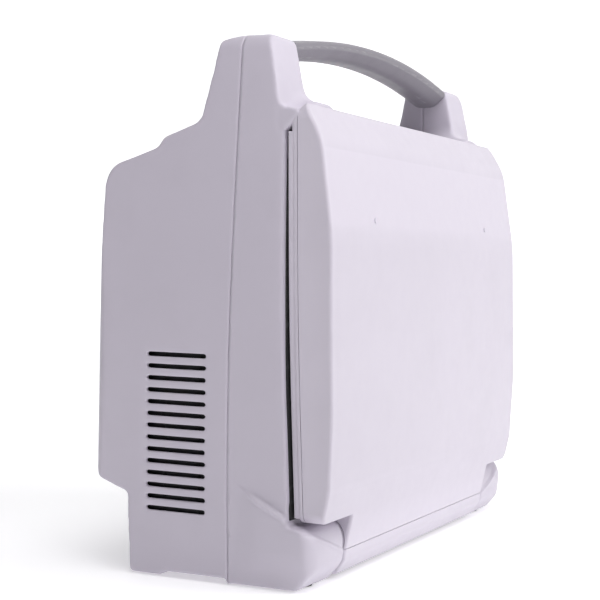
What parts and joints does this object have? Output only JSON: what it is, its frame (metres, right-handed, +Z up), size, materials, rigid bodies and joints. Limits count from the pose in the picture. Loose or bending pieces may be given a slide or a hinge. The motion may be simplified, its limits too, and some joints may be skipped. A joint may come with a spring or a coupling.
{
  "type": "patient monitor",
  "caption": "Portable patient monitor with a carrying handle and a control panel that folds down from over its display.",
  "frame": {"origin": "centre of the footprint, on the table", "axes": "+X to the user's right, +Y to the back, +Z up"},
  "size_m": [0.3306, 0.1457, 0.3112],
  "materials": {
    "housing": "fine satin moulded lilac white",
    "cover": "fine satin moulded lilac white",
    "grip": "satin grey",
    "bezel": "satin charcoal",
    "window": "anti-glare",
    "steel": "zinc plated",
    "brass": "nickelled brass",
    "rubber": "matte",
    "metal": "sheet",
    "board": "solder mask",
    "dark": "black",
    "socket": "polished",
    "knob": "satin grey",
    "mat": "translucent silicone",
    "key": "soft satin grey",
    "key_blue": "soft satin blue",
    "key_amber": "soft satin amber"
  },
  "bodies": {
    "monitor": {"front_housing": "housing", "rear_housing": "housing", "handle_grip": "grip", "housing_screws": "steel", "handle_screws": "steel", "hinge_pins": "steel", "earth_stud": "brass", "foot_pads": "rubber", "display_bezel": "bezel", "screen_window": "window", "display_module": "metal", "chassis_plate": "metal", "main_board": "board", "lead_input_module": "metal", "power_supply": "metal", "battery_pack": "dark", "fan_frame": "dark", "vent_screen": "dark", "lead_panel": "bezel", "lead_sockets": "socket", "mains_inlet": "dark", "switch_frame": "dark"},
    "control_panel": {"panel_cover": "cover", "cover_pips": "cover", "panel_inner_shell": "cover", "panel_screws": "steel", "encoder_body": "metal", "key_board": "board", "dome_mat": "mat"},
    "dial_shaft": {"encoder_shaft": "steel"},
    "dial": {"jog_knob": "knob"},
    "mains_switch": {"mains_rocker": "dark"},
    "fan": {"fan_rotor": "dark"},
    "key_a1": {"key_a1": "key"},
    "key_a2": {"key_a2": "key"},
    "key_a3": {"key_a3": "key"},
    "key_a4": {"key_a4": "key"},
    "key_a5": {"key_a5": "key"},
    "key_b1": {"key_b1": "key"},
    "key_b2": {"key_b2": "key"},
    "key_b3": {"key_b3": "key"},
    "key_b4": {"key_b4": "key"},
    "key_b5": {"key_b5": "key"},
    "key_freeze": {"key_freeze": "key_blue"},
    "key_alarm": {"key_alarm": "key_amber"}
  },
  "joints": [
    {"name": "panel_fold", "type": "hinge", "parent": "monitor", "child": "control_panel", "pos_m": [0, -0.0505, 0.0225], "axis": [1, 0, 0], "range_deg": [0, 90]},
    {"name": "dial_press", "type": "slide", "parent": "control_panel", "child": "dial_shaft", "axis": [0, -0.9992, 0.0401], "range_m": [0, 0.001], "stiffness_N_per_m": 1500},
    {"name": "dial_turn", "type": "hinge", "parent": "dial_shaft", "child": "dial", "pos_m": [0.092, -0.04609, 0.13241], "axis": [0, 0.9992, -0.0401], "continuous": true},
    {"name": "mains_rock", "type": "hinge", "parent": "monitor", "child": "mains_switch", "pos_m": [-0.052, 0.0486, 0.024], "axis": [1, 0, 0], "range_deg": [-19, 0]},
    {"name": "fan_spin", "type": "hinge", "parent": "monitor", "child": "fan", "pos_m": [0, 0.053, 0.13], "axis": [0, 1, 0], "continuous": true},
    {"name": "key_a1_press", "type": "slide", "parent": "control_panel", "child": "key_a1", "axis": [0, -0.9992, 0.0401], "range_m": [0, 0.0012], "stiffness_N_per_m": 500},
    {"name": "key_a2_press", "type": "slide", "parent": "control_panel", "child": "key_a2", "axis": [0, -0.9992, 0.0401], "range_m": [0, 0.0012], "stiffness_N_per_m": 500},
    {"name": "key_a3_press", "type": "slide", "parent": "control_panel", "child": "key_a3", "axis": [0, -0.9992, 0.0401], "range_m": [0, 0.0012], "stiffness_N_per_m": 500},
    {"name": "key_a4_press", "type": "slide", "parent": "control_panel", "child": "key_a4", "axis": [0, -0.9992, 0.0401], "range_m": [0, 0.0012], "stiffness_N_per_m": 500},
    {"name": "key_a5_press", "type": "slide", "parent": "control_panel", "child": "key_a5", "axis": [0, -0.9992, 0.0401], "range_m": [0, 0.0012], "stiffness_N_per_m": 500},
    {"name": "key_b1_press", "type": "slide", "parent": "control_panel", "child": "key_b1", "axis": [0, -0.9992, 0.0401], "range_m": [0, 0.0012], "stiffness_N_per_m": 500},
    {"name": "key_b2_press", "type": "slide", "parent": "control_panel", "child": "key_b2", "axis": [0, -0.9992, 0.0401], "range_m": [0, 0.0012], "stiffness_N_per_m": 500},
    {"name": "key_b3_press", "type": "slide", "parent": "control_panel", "child": "key_b3", "axis": [0, -0.9992, 0.0401], "range_m": [0, 0.0012], "stiffness_N_per_m": 500},
    {"name": "key_b4_press", "type": "slide", "parent": "control_panel", "child": "key_b4", "axis": [0, -0.9992, 0.0401], "range_m": [0, 0.0012], "stiffness_N_per_m": 500},
    {"name": "key_b5_press", "type": "slide", "parent": "control_panel", "child": "key_b5", "axis": [0, -0.9992, 0.0401], "range_m": [0, 0.0012], "stiffness_N_per_m": 500},
    {"name": "key_freeze_press", "type": "slide", "parent": "control_panel", "child": "key_freeze", "axis": [0, -0.9992, 0.0401], "range_m": [0, 0.0012], "stiffness_N_per_m": 500},
    {"name": "key_alarm_press", "type": "slide", "parent": "control_panel", "child": "key_alarm", "axis": [0, -0.9992, 0.0401], "range_m": [0, 0.0012], "stiffness_N_per_m": 500}
  ]
}
